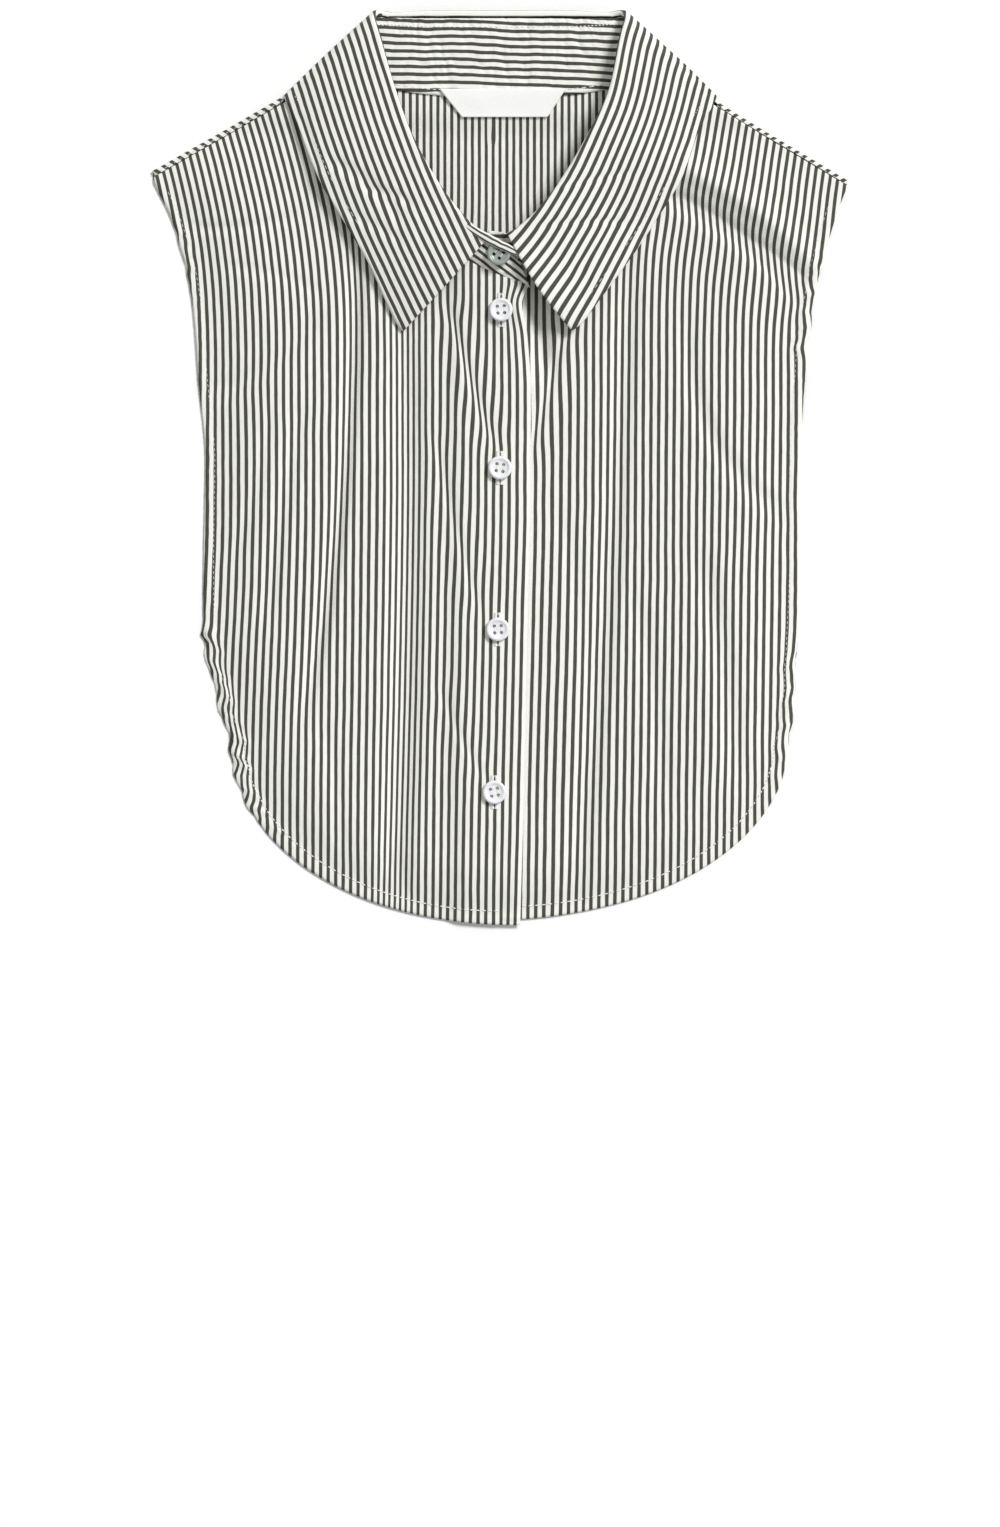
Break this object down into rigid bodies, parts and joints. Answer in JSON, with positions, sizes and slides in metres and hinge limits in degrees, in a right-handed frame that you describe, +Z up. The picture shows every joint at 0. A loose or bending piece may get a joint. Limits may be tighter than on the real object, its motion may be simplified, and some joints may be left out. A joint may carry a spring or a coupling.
{
  "type": "dickey collar",
  "caption": "Detachable shirt collar on a short sleeveless buttoned bib with a curved hem, in striped cotton, laid flat and buttoned.",
  "frame": {"origin": "middle of the laid garment's outline, on the surface that it lies on", "axes": "+Z up off the surface, +Y from the hem to the collar, +X to the wearer's left"},
  "size_m": [0.3408, 0.4473, 0.0194],
  "materials": {
    "striped_poplin": "crisp plain-weave cotton, fine vertical stripes in dark olive grey and off-white",
    "label_tape": "smooth white woven tape, bare",
    "button_resin": "white cast resin, softly polished"
  },
  "bodies": {
    "root": {"back_panel": "striped_poplin", "front_left": "striped_poplin", "front_right": "striped_poplin", "collar_stand": "striped_poplin", "collar_leaf": "striped_poplin", "neck_label": "label_tape", "button_1": "button_resin", "button_2": "button_resin", "button_3": "button_resin", "button_4": "button_resin", "button_stand": "button_resin"}
  },
  "joints": []
}
